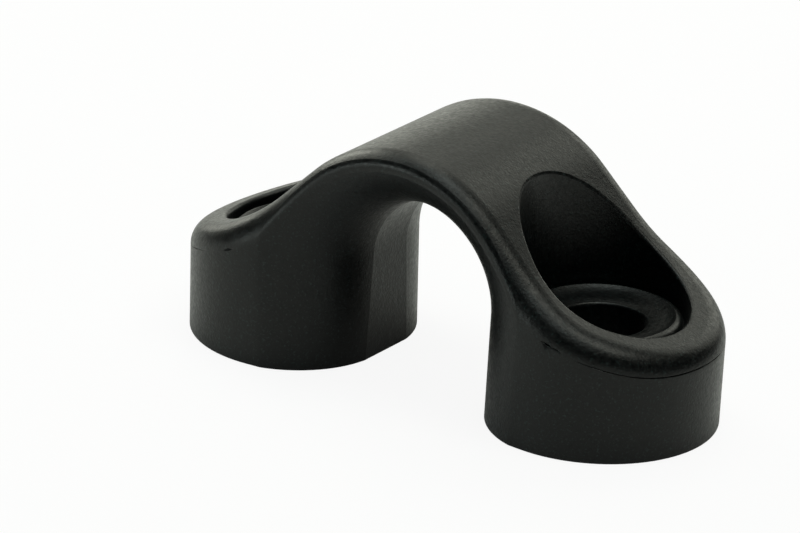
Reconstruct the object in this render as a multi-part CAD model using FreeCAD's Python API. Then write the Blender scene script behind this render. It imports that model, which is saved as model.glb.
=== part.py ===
import FreeCAD, Part
import math
import os

# Deck fairlead moulded in one piece: two round screw feet joined by an arched strap.
# Millimetres. +X runs from foot to foot, +Y across the strap, the way a rope runs, and +Z up.
# The origin is on the deck face, midway between the two screw holes.

Vec = FreeCAD.Vector

# Feet and plan outline
hole_spacing = 28.0          # between the two screw holes
foot_radius = 9.7            # round foot at the deck face
waist_half = 9.1             # half the strap's width midway, at the same level
draft = math.radians(0.7)    # the side walls widen upward

# Side view of the top
height = 20.8
crown_radius = 12.2          # convex arc over the crown
flank_slope = math.radians(44.0)
flank_length = 4.3           # straight run between crown and foot arc
foot_arc_radius = 20.0       # hollow arc that runs out over the foot
end_slope = math.radians(20.5)
shoulder_radius = 2.1        # round-over all along the top edge

# Rope opening
opening_half = 6.25          # half the clear width between the feet
arch_centre_z = 8.9          # the legs are straight up to here, a half circle above
arch_land = 2.3              # half the width of the flat land in the middle, over the arch
arch_kink = math.radians(6.5)    # slope at which the outward flares leave the land
arch_over = 0.4              # how far the flare's full quarter turn would stand past the feet's side
base_land = 3.0              # the same three at the deck face
base_kink = math.radians(8.5)
base_over = 0.2
crease_radius = 0.8          # round-over where the flares meet the outer sides

# Screw seats
hole_radius = 3.5
hole_edge_radius = 3.75      # the hole's mouth, where its small round-over ends
hole_edge_z = 8.15
seat_lip_z = 8.8             # highest line of the dished seat
seat_radius = 6.4
seat_round = 0.6             # round-over on the seat's outer edge
moat_z = 7.6                 # floor of the narrow groove round the seat
pocket_radius = 6.85
pocket_edge = 0.3            # round-over where a pocket opens in the top
base_edge = 0.2              # small break along the deck face

# Derived places
half = hole_spacing / 2.0
clear = 1.5                  # how far a cutting or trimming solid stands past what it cuts
length_half = half + foot_radius + height * math.tan(draft)
arch_bell = (foot_radius + arch_over - arch_land) / (1.0 - math.sin(arch_kink))    # flare radii
base_bell = (foot_radius + base_over - base_land) / (1.0 - math.sin(base_kink))

# Tests that pick out edges
near = 0.01                  # a place this close to a face or circle lies on it
steep = math.sin(math.radians(30.0))


def outline(z):
    """Closed plan outline at level z: two foot arcs and two slightly hollow strap arcs."""
    grow = z * math.tan(draft)
    r, w = foot_radius + grow, waist_half + grow
    side = (half ** 2 + w ** 2 - r ** 2) / (2.0 * (r - w))
    share = r / (r + side)
    tx, ty = half * (1.0 - share), (w + side) * share
    far = half + r

    def at(sx, sy):
        return Vec(sx * tx, sy * ty, z)

    arcs = [Part.Arc(at(1, -1), Vec(far, 0, z), at(1, 1)),
            Part.Arc(at(1, 1), Vec(0, w, z), at(-1, 1)),
            Part.Arc(at(-1, 1), Vec(-far, 0, z), at(-1, -1)),
            Part.Arc(at(-1, -1), Vec(0, -w, z), at(1, -1))]
    return Part.Wire([arc.toShape() for arc in arcs])


def flank_points():
    """Places on one side of the top line: ends of crown arc, flank and foot arc, and the outer end."""
    x1 = crown_radius * math.sin(flank_slope)
    z1 = height - crown_radius * (1.0 - math.cos(flank_slope))
    x2 = x1 + flank_length * math.cos(flank_slope)
    z2 = z1 - flank_length * math.sin(flank_slope)

    def on_arc(angle):
        return (x2 + foot_arc_radius * (math.sin(flank_slope) - math.sin(angle)),
                z2 - foot_arc_radius * (math.cos(angle) - math.cos(flank_slope)))

    middle, last = on_arc(0.5 * (flank_slope + end_slope)), on_arc(end_slope)
    x4 = length_half + clear
    return (x1, z1), (x2, z2), middle, last, (x4, last[1] - (x4 - last[0]) * math.tan(end_slope))


def under_top_line():
    """Everything below the top line, wider than the part."""
    crown_end, flank_end, middle, arc_end, outer = flank_points()
    y = -(foot_radius + clear)

    def at(side, place):
        return Vec(side * place[0], y, place[1])

    right = [Part.Arc(at(-1, crown_end), Vec(0, y, height), at(1, crown_end)).toShape(),
             Part.makeLine(at(1, crown_end), at(1, flank_end)),
             Part.Arc(at(1, flank_end), at(1, middle), at(1, arc_end)).toShape(),
             Part.makeLine(at(1, arc_end), at(1, outer))]
    under_right, under_left = Vec(outer[0], y, -clear), Vec(-outer[0], y, -clear)
    below = [Part.makeLine(at(1, outer), under_right), Part.makeLine(under_right, under_left),
             Part.makeLine(under_left, at(-1, outer))]
    left = [Part.makeLine(at(-1, outer), at(-1, arc_end)),
            Part.Arc(at(-1, arc_end), at(-1, middle), at(-1, flank_end)).toShape(),
            Part.makeLine(at(-1, flank_end), at(-1, crown_end))]
    return Part.Face(Part.Wire(right + below + left)).extrude(Vec(0, -2 * y, 0))


def edge_places(edge):
    """Both ends and the middle of an edge."""
    first, last = edge.FirstParameter, edge.LastParameter
    return [edge.valueAt(t) for t in (first, 0.5 * (first + last), last)]


def top_edges(block):
    """The edges between the top surface, whose normals rise steeply, and the nearly upright sides."""
    found = []
    for edge in block.Edges:
        middle = edge_places(edge)[1]
        rises = []
        for face in block.Faces:
            if any(other.isSame(edge) for other in face.Edges):
                u, v = face.Surface.parameter(middle)
                rises.append(face.normalAt(u, v).z)
        if len(rises) == 2 and abs(min(rises)) < steep < max(rises):
            found.append(edge)
    return found


def rounded_block():
    """The outer form: drafted sides under the curved top, with its shoulder round-over."""
    sides = Part.makeLoft([outline(0.0), outline(height + clear)], True, True)
    block = sides.common(under_top_line())
    return block.makeFillet(shoulder_radius, top_edges(block))


def half_section(land, kink, bell, z):
    """Half plan section of the rope opening at level z, from the middle line out to its flares."""
    x_bell = opening_half + bell * math.cos(kink)
    reach = land + bell * (1.0 - math.sin(kink))
    far = reach + clear
    half_way = 0.5 * (kink + math.radians(90.0))

    def flare(side):
        middle = Vec(x_bell - bell * math.cos(half_way),
                     side * (reach - bell * (1.0 - math.sin(half_way))), z)
        return Part.Arc(Vec(opening_half, side * land, z), middle,
                        Vec(x_bell, side * reach, z)).toShape()

    corners = [Vec(x_bell, reach, z), Vec(x_bell, far, z), Vec(0, far, z),
               Vec(0, -far, z), Vec(x_bell, -far, z), Vec(x_bell, -reach, z)]
    rim = [Part.makeLine(a, b) for a, b in zip(corners[:-1], corners[1:])]
    middle = Part.makeLine(Vec(opening_half, -land, z), Vec(opening_half, land, z))
    return Part.Wire([middle, flare(1)] + rim + [flare(-1)])


def rope_opening():
    """The flared rope passage: its section turned over the arch and run down between the legs."""
    upper = half_section(arch_land, arch_kink, arch_bell, arch_centre_z)
    arch = Part.Face(upper).revolve(Vec(0, 0, arch_centre_z), Vec(0, -1, 0), 180)
    leg = Part.makeLoft([upper, half_section(base_land, base_kink, base_bell, -clear)], True, True)
    return arch.fuse([leg, leg.mirror(Vec(0, 0, 0), Vec(1, 0, 0))])


def crease_edges(body, block, opening):
    """The edges above the deck face that lie on the outer form and on the rope opening alike."""
    shells = block.Shells + opening.Shells
    found = []
    for edge in body.Edges:
        places = edge_places(edge)
        if max(p.z for p in places) < near:
            continue
        if all(Part.Vertex(p).distToShape(shell)[0] < near for p in places for shell in shells):
            found.append(edge)
    return found


def opened_block():
    """The outer form with the rope opening cut through it and the flares' rims rounded."""
    block, opening = rounded_block(), rope_opening()
    body = block.cut(opening)
    return body.makeFillet(crease_radius, crease_edges(body, block, opening))


def seat_tool():
    """Everything cut from one foot, turned about the screw's axis: pocket, seat groove and hole."""
    lip = seat_radius - seat_round
    turn = seat_round * math.sin(math.radians(45.0))
    mouth_turn = (hole_edge_radius - hole_radius) * math.sin(math.radians(45.0))
    mouth_z = hole_edge_z - (hole_edge_radius - hole_radius)
    top = height + clear

    def at(r, z):
        return Vec(r, 0, z)

    edges = [Part.makeLine(at(0, -clear), at(hole_radius, -clear)),
             Part.makeLine(at(hole_radius, -clear), at(hole_radius, mouth_z)),
             Part.Arc(at(hole_radius, mouth_z), at(hole_edge_radius - mouth_turn, mouth_z + mouth_turn),
                      at(hole_edge_radius, hole_edge_z)).toShape(),
             Part.makeLine(at(hole_edge_radius, hole_edge_z), at(lip, seat_lip_z)),
             Part.Arc(at(lip, seat_lip_z), at(lip + turn, seat_lip_z - seat_round + turn),
                      at(seat_radius, seat_lip_z - seat_round)).toShape(),
             Part.makeLine(at(seat_radius, seat_lip_z - seat_round), at(seat_radius, moat_z)),
             Part.makeLine(at(seat_radius, moat_z), at(pocket_radius, moat_z)),
             Part.makeLine(at(pocket_radius, moat_z), at(pocket_radius, top)),
             Part.makeLine(at(pocket_radius, top), at(0, top)),
             Part.makeLine(at(0, top), at(0, -clear))]
    return Part.Face(Part.Wire(edges)).revolve(Vec(0, 0, 0), Vec(0, 0, 1), 360)


def off_foot_circle(edge, radius):
    """How far an edge strays in plan from the circle of that radius about its foot's screw axis."""
    return max(abs(math.hypot(abs(p.x) - half, p.y) - radius) for p in edge_places(edge))


def pocket_edges(body):
    """The edges where the two pockets open in the top."""
    return [edge for edge in body.Edges
            if off_foot_circle(edge, pocket_radius) < near
            and min(p.z for p in edge_places(edge)) > moat_z + near]


def deck_edges(body):
    """The outer edges of both feet on the deck face, without the screw holes."""
    return [edge for edge in body.Edges
            if max(abs(p.z) for p in edge_places(edge)) < near
            and off_foot_circle(edge, hole_radius) > near]


def fairlead():
    """The whole fairlead as one solid."""
    body = opened_block()
    for side in (-1, 1):
        tool = seat_tool()
        tool.translate(Vec(side * half, 0, 0))
        body = body.cut(tool)
    body = body.makeFillet(pocket_edge, pocket_edges(body))
    return body.makeFillet(base_edge, deck_edges(body))


def main():
    os.makedirs("parts", exist_ok=True)
    body = fairlead()
    box = body.optimalBoundingBox(False, False)
    corners = [round(q, 2) for q in (box.XMin, box.YMin, box.ZMin, box.XMax, box.YMax, box.ZMax)]
    print("valid", body.isValid(), "solids", len(body.Solids))
    print("volume", round(body.Volume, 1), "corners", corners)
    body.exportStep("parts/fairlead_body.step")


main()
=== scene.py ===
import math

import bmesh
import bpy
import numpy as np
from mathutils import Matrix, Vector


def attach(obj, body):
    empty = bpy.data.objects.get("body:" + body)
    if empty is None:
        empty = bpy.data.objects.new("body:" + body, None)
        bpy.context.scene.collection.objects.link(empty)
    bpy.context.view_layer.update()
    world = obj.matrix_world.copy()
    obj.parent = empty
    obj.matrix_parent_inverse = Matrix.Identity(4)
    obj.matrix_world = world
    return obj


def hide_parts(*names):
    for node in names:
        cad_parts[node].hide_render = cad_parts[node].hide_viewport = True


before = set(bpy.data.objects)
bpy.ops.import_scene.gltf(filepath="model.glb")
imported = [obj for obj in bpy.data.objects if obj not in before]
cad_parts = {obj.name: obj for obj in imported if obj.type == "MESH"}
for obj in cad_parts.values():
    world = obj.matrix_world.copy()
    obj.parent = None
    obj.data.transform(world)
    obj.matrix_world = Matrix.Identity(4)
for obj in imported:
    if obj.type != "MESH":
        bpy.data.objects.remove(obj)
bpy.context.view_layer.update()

MM = 0.001                           # in metres

# Camera, fitted to the photograph
IMAGE_WIDTH = 800                    # the photograph's width, in pixels
AZIMUTH = math.radians(33.99)        # from the front round to the right
ELEVATION = math.radians(21.84)
ROLL = math.radians(2.39)
TARGET = Vector((-3.298, -2.862, 8.973)) * MM
DISTANCE = 407.9 * MM
FOCAL_PIXELS = 5128.4

# Soft round lamps, aimed at the object: degrees round from the camera towards its right, degrees
# above the floor, watts and colour
LAMP_DISTANCE = 0.6                  # metres from the origin
LAMP_SIZE = 0.28                     # metres across
WARM, COOL = (0.98, 1.0, 0.88), (0.90, 1.0, 0.95)
LAMPS = {
    "behind_low": (180, 6, 0.29, WARM),
    "left_low": (292, 6, 0.84, COOL),
    "right_behind_low": (145, 18, 0.38, WARM),
    "left_behind": (210, 22, 0.98, WARM),
    "right_behind": (135, 40, 0.24, WARM),
    "right_behind_mid": (158, 34, 0.18, WARM),
    "behind": (180, 40, 0.19, WARM),
    "left_behind_mid": (225, 40, 0.38, WARM),
    "front_high": (0, 62, 0.38, COOL),
    "right_high": (60, 62, 0.84, WARM),
    "behind_high": (180, 62, 0.54, WARM),
    "left_behind_high": (240, 62, 0.25, COOL),
    "overhead": (0, 90, 0.68, COOL),
}

# Floor and background
FLOOR_HALF = 1.2                     # half its width, in metres
FLOOR_DROP = 0.02 * MM               # a hair under the feet, so that the faces don't coincide
FLOOR_GREY = 0.85
FLOOR_WHITE, FLOOR_MIRRORED = 0.91, 0.05    # plain white's share to the camera and in reflections
SKY_STRENGTH = 0.02

# From here on, sizes and places are in millimetres.
# The mould's parting line round the feet: a hyperbola, lowest at the part's ends and rising
# towards the arch
END_X, END_Z = 23.8, 7.0
CLIMB, BEND = 0.4, 3.0               # its slope far from the ends, and how widely it bends at them
FOOT_X = 14.0                        # the screw axes
WALL_X, WALL_RADIUS = 14.4, 9.0      # it stays further out than these from the middle and the axes
FADE_FROM, FADE_TO = 17.0, 20.0      # it comes up between these distances from the middle
DEEP_FROM, DEEP_TO = 20.5, 23.0      # and grows deeper between these
DEEPER = 0.5
UNEVEN = 0.15                        # share of its depth that comes and goes in waves
WAVE_X, WAVE_Y = 3.1, 2.3            # radians a millimetre
# The slot that the parting line leaves: height over the line and depth
SLOT = [(0.06, 0.0), (0.03, 0.0), (0.0, 0.11), (-0.04, 0.11), (-0.08, 0.0), (-0.11, 0.0)]
# Small chips on the line, at the front alone: x, half length, half height, depth
CHIPS = [(15.2, 0.34, 0.07, 0.22), (16.0, 0.22, 0.05, 0.16), (-15.3, 0.32, 0.06, 0.15)]

# The dished seats: radii of the dish, its heights, and how far it is hollowed beyond a plain cone
SEAT_IN, SEAT_OUT = 3.85, 5.8
SEAT_LOW, SEAT_HIGH = 8.0, 8.9
SEAT_HOLLOW = 0.11

# The creases where the flares run into the legs' outer walls: distance from the middle at the
# deck face and at the arch's centre
CREASE_LOW_X, CREASE_HIGH_X, ARCH_Z = 11.05, 12.1, 8.9
CREASE_REACH, CREASE_BLUR = 1.6, 0.45    # how far from them the shading is eased, and how widely
CREASE_FADE_FROM, CREASE_FADE_TO = ARCH_Z - 0.5, ARCH_Z + 2.5    # heights; the easing fades here
CREASE_Y = 7.5                       # only the surface further out than this is eased
CREASE_MARGIN = 1.0                  # what lies this much further away still counts in the blur
UPRIGHT = 0.6                        # a wall's normal has less than this along the vertical

# How fine the surface is cut: the longest edges at the line, chips, creases and seats
LINE_EDGE, CHIP_EDGE, CREASE_EDGE, SEAT_EDGE = 0.3, 0.06, 0.35, 0.25
LINE_REACH = 0.3                     # up to this height over or under the line
CHIP_REACH = 1.4                     # in half lengths of the chip
FINE_CREASE_Y, FINE_CREASE_Z = 8.0, 0.3    # further out and higher than these
SEAT_MARGIN = 0.1                    # past the dish's outer radius
FAR_OFF = 99.0                       # stands for the height over the line where there is none
LONGEST_CUT = 2.0                    # no end of an edge cut along the line is further from it
CUT_ROUNDS = 8                       # an edge is halved this many times at most
WELD = 1e-7                          # metres, closer vertices of the CAD mesh become one


def smooth_step(value, low, high):
    t = np.clip((value - low) / (high - low), 0.0, 1.0)
    return t * t * (3.0 - 2.0 * t)


def unit(rows):
    return rows / np.maximum(np.linalg.norm(rows, axis=1, keepdims=True), 1e-12)


def numbers(collection, name, kind=float):
    """One number for each item of a mesh's collection."""
    flat = np.empty(len(collection), dtype=kind)
    collection.foreach_get(name, flat)
    return flat


def vectors(collection, name):
    """One vector for each item of a mesh's collection."""
    flat = np.empty(len(collection) * 3)
    collection.foreach_get(name, flat)
    return flat.reshape(-1, 3)


def towards(azimuth, elevation):
    """The direction at that angle round from the front to the right, and above the floor."""
    return Vector((math.sin(azimuth) * math.cos(elevation),
                   -math.cos(azimuth) * math.cos(elevation), math.sin(elevation)))


def make_camera():
    """The photograph's view: a long lens from the right of the front, a little above."""
    back = towards(AZIMUTH, ELEVATION)
    level = Vector((math.cos(AZIMUTH), math.sin(AZIMUTH), 0.0))
    upright = back.cross(level)
    right = math.cos(ROLL) * level + math.sin(ROLL) * upright
    up = math.cos(ROLL) * upright - math.sin(ROLL) * level
    data = bpy.data.cameras.new("camera")
    data.lens = FOCAL_PIXELS / IMAGE_WIDTH * data.sensor_width
    data.clip_start, data.clip_end = 0.01, 10.0
    camera = bpy.data.objects.new("camera", data)
    camera.rotation_mode = "QUATERNION"
    camera.rotation_quaternion = Matrix((right, up, back)).transposed().to_quaternion()
    camera.location = TARGET + DISTANCE * back
    bpy.context.scene.collection.objects.link(camera)
    bpy.context.scene.camera = camera


def make_lamps():
    """One soft round lamp for each row of LAMPS."""
    for name, (turn, rise, watts, colour) in LAMPS.items():
        direction = towards(AZIMUTH + math.radians(turn), math.radians(rise))
        data = bpy.data.lights.new(name, "AREA")
        data.shape = "DISK"
        data.size = LAMP_SIZE
        data.energy = watts
        data.color = colour
        lamp = bpy.data.objects.new(name, data)
        lamp.rotation_mode = "QUATERNION"
        lamp.rotation_quaternion = direction.to_track_quat("Z", "Y")
        lamp.location = direction * LAMP_DISTANCE
        bpy.context.scene.collection.objects.link(lamp)


def seen_white(tree, shader_socket, camera_share, glossy_share):
    """Mixes a surface or background with plain white, for camera rays and for reflections."""
    path = tree.nodes.new("ShaderNodeLightPath")
    white = tree.nodes.new("ShaderNodeEmission")
    mix = tree.nodes.new("ShaderNodeMixShader")
    to_camera, to_gloss = tree.nodes.new("ShaderNodeMath"), tree.nodes.new("ShaderNodeMath")
    to_camera.operation, to_gloss.operation = "MULTIPLY", "MULTIPLY_ADD"
    to_camera.inputs[1].default_value = camera_share
    to_gloss.inputs[1].default_value = glossy_share
    tree.links.new(path.outputs["Is Camera Ray"], to_camera.inputs[0])
    tree.links.new(path.outputs["Is Glossy Ray"], to_gloss.inputs[0])
    tree.links.new(to_camera.outputs[0], to_gloss.inputs[2])
    tree.links.new(to_gloss.outputs[0], mix.inputs[0])
    tree.links.new(shader_socket, mix.inputs[1])
    tree.links.new(white.outputs[0], mix.inputs[2])
    return mix.outputs[0]


def make_floor():
    """A plain white floor that keeps only the object's soft shadow."""
    mesh = bpy.data.meshes.new("floor")
    corners = [(-FLOOR_HALF, -FLOOR_HALF, -FLOOR_DROP), (FLOOR_HALF, -FLOOR_HALF, -FLOOR_DROP),
               (FLOOR_HALF, FLOOR_HALF, -FLOOR_DROP), (-FLOOR_HALF, FLOOR_HALF, -FLOOR_DROP)]
    mesh.from_pydata(corners, [], [(0, 1, 2, 3)])
    floor = bpy.data.objects.new("floor", mesh)
    bpy.context.scene.collection.objects.link(floor)
    material = bpy.data.materials.new("floor")
    material.use_nodes = True
    tree = material.node_tree
    shader = tree.nodes["Principled BSDF"]
    shader.inputs["Base Color"].default_value = (FLOOR_GREY, FLOOR_GREY, FLOOR_GREY, 1)
    shader.inputs["Roughness"].default_value = 1.0
    shader.inputs["Specular IOR Level"].default_value = 0.0
    seen = seen_white(tree, shader.outputs[0], FLOOR_WHITE, FLOOR_MIRRORED)
    tree.links.new(seen, tree.nodes["Material Output"].inputs["Surface"])
    mesh.materials.append(material)


def make_world():
    """A nearly dark sky that the camera alone sees as white."""
    world = bpy.data.worlds.new("world")
    world.use_nodes = True
    tree = world.node_tree
    background = tree.nodes["Background"]
    background.inputs["Color"].default_value = (1, 1, 1, 1)
    background.inputs["Strength"].default_value = SKY_STRENGTH
    seen = seen_white(tree, background.outputs[0], camera_share=1.0, glossy_share=0.0)
    tree.links.new(seen, tree.nodes["World Output"].inputs["Surface"])
    bpy.context.scene.world = world


def noise(tree, place, scale_per_mm, detail):
    node = tree.nodes.new("ShaderNodeTexNoise")
    node.inputs["Scale"].default_value = scale_per_mm / MM
    node.inputs["Detail"].default_value = detail
    tree.links.new(place, node.inputs["Vector"])
    return node.outputs["Fac"]


def stretched(tree, value, low, high, to_low=0.0, to_high=1.0):
    """Takes the range from low to high of a value to a new range, and clamps it there."""
    node = tree.nodes.new("ShaderNodeMapRange")
    node.inputs["From Min"].default_value, node.inputs["From Max"].default_value = low, high
    node.inputs["To Min"].default_value, node.inputs["To Max"].default_value = to_low, to_high
    tree.links.new(value, node.inputs["Value"])
    return node.outputs["Result"]


def bump(tree, height, depth_mm, normal=None):
    node = tree.nodes.new("ShaderNodeBump")
    node.inputs["Strength"].default_value = 1.0
    node.inputs["Distance"].default_value = depth_mm * MM
    tree.links.new(height, node.inputs["Height"])
    if normal:
        tree.links.new(normal, node.inputs["Normal"])
    return node.outputs["Normal"]


def make_plastic():
    """Black moulded plastic with the mould's fine spark grain and a slightly uneven gloss."""
    material = bpy.data.materials.new("black_plastic")
    material.use_nodes = True
    tree = material.node_tree
    shader = tree.nodes["Principled BSDF"]
    shader.inputs["Specular IOR Level"].default_value = 0.29
    shader.inputs["Sheen Weight"].default_value = 0.015
    shader.inputs["Sheen Roughness"].default_value = 0.35
    place = tree.nodes.new("ShaderNodeTexCoord").outputs["Object"]
    fine = noise(tree, place, scale_per_mm=5.0, detail=2.0)
    coarse = noise(tree, place, scale_per_mm=1.3, detail=3.0)
    patches = noise(tree, place, scale_per_mm=3.0, detail=3.0)
    gloss = stretched(tree, patches, low=0.3, high=0.7, to_low=0.29, to_high=0.46)
    tree.links.new(gloss, shader.inputs["Roughness"])
    speckle = tree.nodes.new("ShaderNodeMix")
    speckle.data_type = "RGBA"
    speckle.inputs["A"].default_value = (0.0001, 0.0006, 0.0007, 1)
    speckle.inputs["B"].default_value = (0.0090, 0.0170, 0.0165, 1)
    tree.links.new(stretched(tree, fine, low=0.57, high=0.75), speckle.inputs["Factor"])
    tree.links.new(speckle.outputs["Result"], shader.inputs["Base Color"])
    grain = bump(tree, coarse, depth_mm=0.018)
    grain = bump(tree, fine, depth_mm=0.019, normal=grain)
    tree.links.new(grain, shader.inputs["Normal"])
    return material


def parting_z(x):
    """Height of the parting line at that place along the part."""
    return END_Z + CLIMB * (np.sqrt((END_X - np.abs(x)) ** 2 + BEND ** 2) - BEND)


def on_wall(x, y):
    """Whether places are on a foot's outer wall, where the parting line and its chips can be."""
    return (np.abs(x) > WALL_X) & (np.hypot(np.abs(x) - FOOT_X, y) > WALL_RADIUS)


def crease_x(z):
    """Distance of the legs' creases from the middle at that height."""
    return CREASE_LOW_X + (CREASE_HIGH_X - CREASE_LOW_X) * np.clip(z / ARCH_Z, 0.0, 1.0)


def over_line(point):
    """Height of a mesh point over the parting line, or FAR_OFF away from the feet's outer wall."""
    x, y, z = (c / MM for c in point)
    return z - float(parting_z(x)) if on_wall(x, y) else FAR_OFF


def near_line(point):
    return abs(over_line(point)) < LINE_REACH


def near_chip(point):
    x = point[0] / MM
    return point[1] < 0.0 and near_line(point) and any(
        abs(x - chip_x) < CHIP_REACH * half_length for chip_x, half_length, _, _ in CHIPS)


def near_crease(point):
    x, y, z = (abs(c) / MM for c in point)
    return (y > FINE_CREASE_Y and FINE_CREASE_Z < z < CREASE_FADE_TO
            and abs(x - crease_x(z)) < CREASE_REACH)


def near_seat(point):
    x, y, z = (abs(c) / MM for c in point)
    return SEAT_LOW < z < SEAT_HIGH and math.hypot(x - FOOT_X, y) < SEAT_OUT + SEAT_MARGIN


def triangulate(mesh):
    bmesh.ops.triangulate(mesh, faces=[f for f in mesh.faces if len(f.verts) > 3])


def refine(mesh, longest, wanted):
    """Halves the edges longer than that whose middle is wanted, until none is left."""
    for _ in range(CUT_ROUNDS):
        edges = [e for e in mesh.edges if e.calc_length() > longest * MM
                 and wanted((e.verts[0].co + e.verts[1].co) * 0.5)]
        if not edges:
            return
        bmesh.ops.subdivide_edges(mesh, edges=edges, cuts=1)
        triangulate(mesh)


def cut_at(mesh, level):
    """Lays mesh edges along the curve at that height over the parting line."""
    height = {v: over_line(v.co) - level for v in mesh.verts}
    added = []
    for edge in mesh.edges[:]:
        low, high = (height[v] for v in edge.verts)
        if low * high < 0.0 and abs(low) < LONGEST_CUT and abs(high) < LONGEST_CUT:
            _, vertex = bmesh.utils.edge_split(edge, edge.verts[0], low / (low - high))
            height[vertex] = 0.0
            added.append(vertex)
    bmesh.ops.connect_verts(mesh, verts=added)
    triangulate(mesh)


def cut_finer(cad):
    """The CAD mesh cut finer at its details, each face with the number of the one it came from."""
    work = bmesh.new()
    work.from_mesh(cad)
    origin = work.faces.layers.int.new("origin")
    for face in work.faces:
        face[origin] = face.index
    bmesh.ops.remove_doubles(work, verts=work.verts[:], dist=WELD)
    refine(work, LINE_EDGE, near_line)
    refine(work, CHIP_EDGE, near_chip)
    refine(work, CREASE_EDGE, near_crease)
    refine(work, SEAT_EDGE, near_seat)
    for height, _ in SLOT:
        cut_at(work, height)
    mesh = bpy.data.meshes.new("fairlead")
    work.to_mesh(mesh)
    work.free()
    return mesh


def hollow(points):
    """How far the seats' dishes are sunk at these places, steepest just inside the lip."""
    x, y, z = points.T
    t = np.clip((np.hypot(np.abs(x) - FOOT_X, y) - SEAT_IN) / (SEAT_OUT - SEAT_IN), 0.0, 1.0)
    on_seat = (z > SEAT_LOW) & (z < SEAT_HIGH)
    to_one = 6.75                    # t * t * (1 - t) times this is 1 at its highest
    return np.where(on_seat, SEAT_HOLLOW * to_one * t * t * (1.0 - t), 0.0)


def sunk(points):
    """How far the seats, the parting line's slot and its chips are sunk at these places."""
    x, y, z = points.T
    over = z - parting_z(x)
    heights, depths = zip(*sorted(SLOT))
    waves = 1.0 - UNEVEN + UNEVEN * np.sin(WAVE_X * x + WAVE_Y * y)
    share = smooth_step(np.abs(x), FADE_FROM, FADE_TO) * waves
    share *= 1.0 + DEEPER * smooth_step(np.abs(x), DEEP_FROM, DEEP_TO)
    depth = np.interp(over, heights, depths) * share
    for chip_x, half_length, half_height, deep in CHIPS:
        spread = ((x - chip_x) / half_length) ** 2 + (over / half_height) ** 2
        depth += np.where(y < 0.0, deep * np.exp(-spread), 0.0)
    return np.where(on_wall(x, y), depth, 0.0) + hollow(points)


def sunk_slope(points):
    """The change of that depth along the three axes, taken over a short step to both sides."""
    step = 0.012
    sides = [(sunk(points + step * axis) - sunk(points - step * axis)) / (2.0 * step)
             for axis in np.eye(3)]
    return np.stack(sides, axis=1)


def carried_normals(cad, places, corners, origins):
    """The CAD surface's own normals at the corners of the finer faces cut from its triangles."""
    own = vectors(cad.corner_normals, "vector").reshape(-1, 3, 3)
    vertex_of = numbers(cad.loops, "vertex_index", int)
    triangles = vectors(cad.vertices, "co")[vertex_of].reshape(-1, 3, 3)
    origin = np.repeat(origins, 3)
    a, b, c = (triangles[origin, k] for k in range(3))
    p = places[corners]
    across = np.cross(b - a, c - a)
    size = np.maximum((across ** 2).sum(1), 1e-30)
    to_b = (np.cross(p - a, c - a) * across).sum(1) / size
    to_c = (np.cross(b - a, p - a) * across).sum(1) / size
    shares = np.clip(np.stack([1.0 - to_b - to_c, to_b, to_c], axis=1), 0.0, 1.0)
    return unit((own[origin] * shares[:, :, None]).sum(1))


def eased_creases(points, vertex_normals, areas):
    """Blurred normals along the legs' creases, and how far each vertex takes them."""
    x, y, z = points.T
    away = np.abs(np.abs(x) - crease_x(z))
    near = (away < CREASE_REACH + CREASE_MARGIN) & (np.abs(y) > CREASE_Y)
    near &= (z < CREASE_FADE_TO + CREASE_MARGIN) & (np.abs(vertex_normals[:, 2]) < UPRIGHT)
    blurred = vertex_normals.copy()
    for side_x in (-1, 1):
        for side_y in (-1, 1):
            leg = np.flatnonzero(near & (x * side_x > 0.0) & (y * side_y > 0.0))
            gap = ((points[leg, None, :] - points[None, leg, :]) ** 2).sum(2)
            weight = np.exp(-0.5 * gap / CREASE_BLUR ** 2) * areas[leg]
            blurred[leg] = unit(weight @ vertex_normals[leg])
    share = 1.0 - smooth_step(away, 0.5 * CREASE_REACH, CREASE_REACH)
    share *= 1.0 - smooth_step(z, CREASE_FADE_FROM, CREASE_FADE_TO)
    return blurred, np.where(near, share, 0.0)


def dressed_normals(points, corners, normals, vertex_normals, areas):
    """The corners' normals once the creases are eased and slot, chips and dishes are sunk."""
    blurred, share = eased_creases(points, vertex_normals, areas)
    wall = np.abs(normals[:, 2]) < UPRIGHT
    taken = (share[corners] * wall)[:, None]
    normals = unit(normals * (1.0 - taken) + blurred[corners] * taken)
    slope = sunk_slope(points)[corners]
    slope -= (slope * normals).sum(1, keepdims=True) * normals
    return unit(normals + slope)


def make_body(node):
    """The CAD solid's own surface, cut finer, with the seats hollowed and slot and chips sunk."""
    mesh = cut_finer(node.data)
    places = vectors(mesh.vertices, "co")
    corners = numbers(mesh.loops, "vertex_index", int)
    origins = numbers(mesh.attributes["origin"].data, "value", int)
    normals = carried_normals(node.data, places, corners, origins)

    vertex_normals, areas = np.zeros_like(places), np.zeros(len(places))
    np.add.at(vertex_normals, corners, normals)
    np.add.at(areas, corners, np.repeat(numbers(mesh.polygons, "area"), 3))
    vertex_normals = unit(vertex_normals)
    points = places / MM
    normals = dressed_normals(points, corners, normals, vertex_normals, areas)
    places = places - (sunk(points) * MM)[:, None] * vertex_normals

    mesh.vertices.foreach_set("co", places.ravel())
    for name in ("origin", "custom_normal", "sharp_edge", "sharp_face"):
        if name in mesh.attributes:
            mesh.attributes.remove(mesh.attributes[name])
    mesh.polygons.foreach_set("use_smooth", np.ones(len(mesh.polygons), dtype=bool))
    mesh.normals_split_custom_set(normals.tolist())
    mesh.materials.clear()
    mesh.materials.append(make_plastic())
    body = bpy.data.objects.new("fairlead", mesh)
    bpy.context.scene.collection.objects.link(body)
    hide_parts("fairlead_body")
    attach(body, "root")


make_camera()
make_lamps()
make_floor()
make_world()
bpy.context.scene.view_settings.view_transform = "Standard"
make_body(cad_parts["fairlead_body"])
